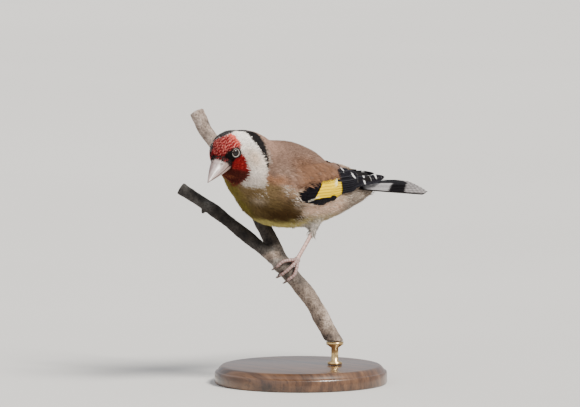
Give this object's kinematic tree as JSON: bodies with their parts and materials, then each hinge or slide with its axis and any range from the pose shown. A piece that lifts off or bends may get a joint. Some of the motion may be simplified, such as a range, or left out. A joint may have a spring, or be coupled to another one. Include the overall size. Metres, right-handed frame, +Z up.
{
  "type": "goldfinch model",
  "caption": "Life-size european goldfinch gripping a forked twig that a small brass rod and a round wooden base hold up.",
  "frame": {"origin": "centre of the round base's underside", "axes": "+Z up; the bird's body faces -Y, its left side is +X and its tail points to +Y"},
  "size_m": [0.0939, 0.1302, 0.1189],
  "materials": {
    "head_plumage": "matte feathers",
    "neck_plumage": "matte feathers",
    "body_plumage": "matte feathers",
    "thigh_plumage": "matte feathers",
    "flight_feathers": "satin feathers",
    "bill": "satin horn",
    "eye": "wet gloss",
    "leg_skin": "scaly skin",
    "bark": "rough bark",
    "base_wood": "satin varnish",
    "rod_brass": "polished"
  },
  "bodies": {
    "root": {"head": "head_plumage", "neck": "neck_plumage", "torso": "body_plumage", "bill_upper": "bill", "bill_lower": "bill", "eye_left": "eye", "eye_right": "eye", "tail": "flight_feathers", "wing_left": "flight_feathers", "wing_right": "flight_feathers", "thigh_left": "thigh_plumage", "thigh_right": "thigh_plumage", "tarsus_left": "leg_skin", "tarsus_right": "leg_skin", "foot_left": "leg_skin", "foot_right": "leg_skin", "perch_twig": "bark", "stand_base": "base_wood", "stand_rod": "rod_brass"}
  },
  "joints": []
}
